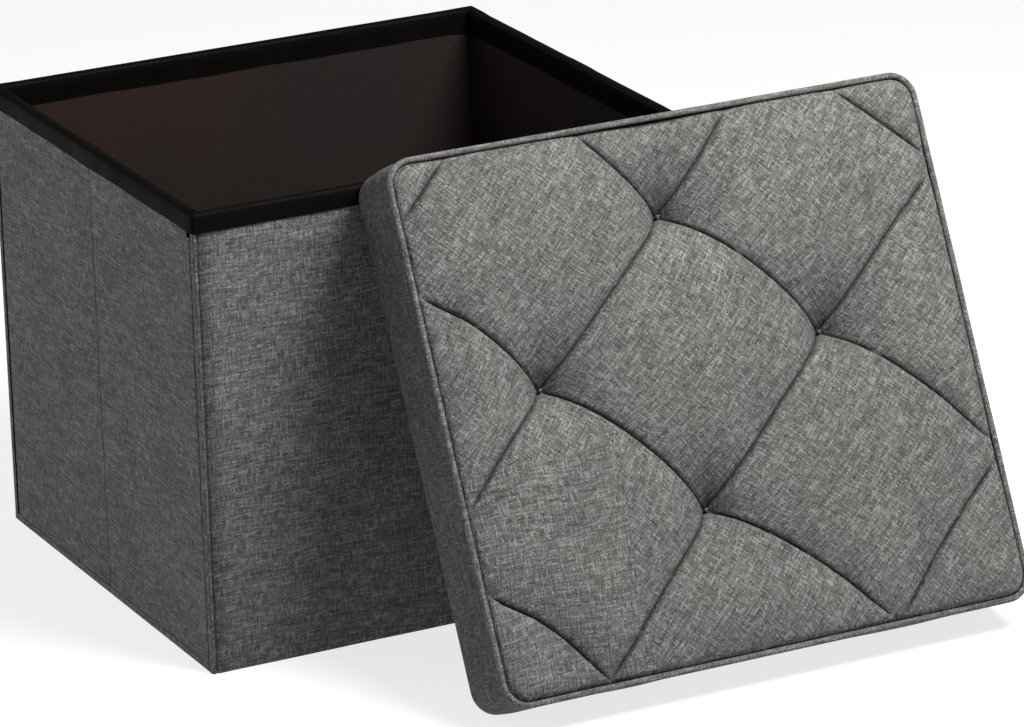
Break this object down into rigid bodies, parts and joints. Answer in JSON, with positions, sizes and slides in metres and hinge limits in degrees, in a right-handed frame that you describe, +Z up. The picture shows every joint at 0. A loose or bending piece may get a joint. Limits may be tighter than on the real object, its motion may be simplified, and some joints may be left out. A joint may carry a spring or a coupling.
{
  "type": "storage ottoman",
  "caption": "Folding fabric storage ottoman: open box with bound rim and lining, fold seams in its end walls, and a separate tufted lid leaning on its front.",
  "frame": {"origin": "centre of the box's footprint on the floor", "axes": "+Z up, -Y out of the front wall, where the lid leans, +X to the right along the front"},
  "size_m": [0.5264, 0.5679, 0.3605],
  "materials": {
    "grey_linen": "heathered linen-look weave",
    "black_lining": "matt non-woven",
    "black_binding": "folded woven binding",
    "fibreboard": "raw fibreboard",
    "foam": "open-cell foam",
    "grey_thread": "waxed thread",
    "anchor_plastic": "moulded"
  },
  "bodies": {
    "front_and_base": {"front_board": "fibreboard", "front_cover": "grey_linen", "front_lining": "black_lining", "front_rim": "black_binding", "front_left_seam": "grey_linen", "front_right_seam": "grey_linen", "base_board": "fibreboard", "base_lining": "black_lining", "base_underside": "black_lining", "base_edge_band": "grey_linen"},
    "left_front_wall": {"left_front_board": "fibreboard", "left_front_cover": "grey_linen", "left_front_lining": "black_lining", "left_front_rim": "black_binding"},
    "left_rear_wall": {"left_rear_board": "fibreboard", "left_rear_cover": "grey_linen", "left_rear_lining": "black_lining", "left_rear_rim": "black_binding"},
    "back_wall": {"back_board": "fibreboard", "back_cover": "grey_linen", "back_lining": "black_lining", "back_rim": "black_binding", "back_left_seam": "grey_linen", "back_right_seam": "grey_linen"},
    "right_front_wall": {"right_front_board": "fibreboard", "right_front_cover": "grey_linen", "right_front_lining": "black_lining", "right_front_rim": "black_binding"},
    "right_rear_wall": {"right_rear_board": "fibreboard", "right_rear_cover": "grey_linen", "right_rear_lining": "black_lining", "right_rear_rim": "black_binding"},
    "lid": {"lid_board": "fibreboard", "lid_front_rail": "fibreboard", "lid_rear_rail": "fibreboard", "lid_left_rail": "fibreboard", "lid_right_rail": "fibreboard", "lid_front_left_block": "fibreboard", "lid_front_right_block": "fibreboard", "lid_rear_left_block": "fibreboard", "lid_rear_right_block": "fibreboard", "lid_foam": "foam", "lid_top_cover": "grey_linen", "lid_band": "grey_linen", "lid_welt": "grey_linen", "lid_lining": "black_lining", "tuft_ties": "grey_thread", "tuft_anchors": "anchor_plastic"}
  },
  "joints": [
    {"name": "fold_left_front", "type": "hinge", "parent": "front_and_base", "child": "left_front_wall", "pos_m": [-0.18425, -0.16825, 0.165], "axis": [0, 0, -1], "range_deg": [0, 90]},
    {"name": "fold_left_rear", "type": "hinge", "parent": "left_front_wall", "child": "left_rear_wall", "pos_m": [-0.19405, 0, 0.165], "axis": [0, 0, 1], "range_deg": [0, 180]},
    {"name": "fold_back", "type": "hinge", "parent": "left_rear_wall", "child": "back_wall", "pos_m": [-0.18425, 0.16825, 0.165], "axis": [0, 0, -1], "range_deg": [0, 90]},
    {"name": "fold_right_front", "type": "hinge", "parent": "front_and_base", "child": "right_front_wall", "pos_m": [0.18425, -0.16825, 0.165], "axis": [0, 0, 1], "range_deg": [0, 90]},
    {"name": "fold_right_rear", "type": "hinge", "parent": "right_front_wall", "child": "right_rear_wall", "pos_m": [0.19405, 0, 0.165], "axis": [0, 0, -1], "range_deg": [0, 180]},
    {"name": "lid_lift", "type": "slide", "parent": "front_and_base", "child": "lid", "axis": [0, 0, 1], "range_m": [0, 0.42]}
  ],
  "couplings": [
    {"joint": "fold_left_rear", "follows": "fold_left_front", "ratio": 2},
    {"joint": "fold_back", "follows": "fold_left_front", "ratio": 1},
    {"joint": "fold_right_front", "follows": "fold_left_front", "ratio": 1},
    {"joint": "fold_right_rear", "follows": "fold_left_front", "ratio": 2}
  ]
}
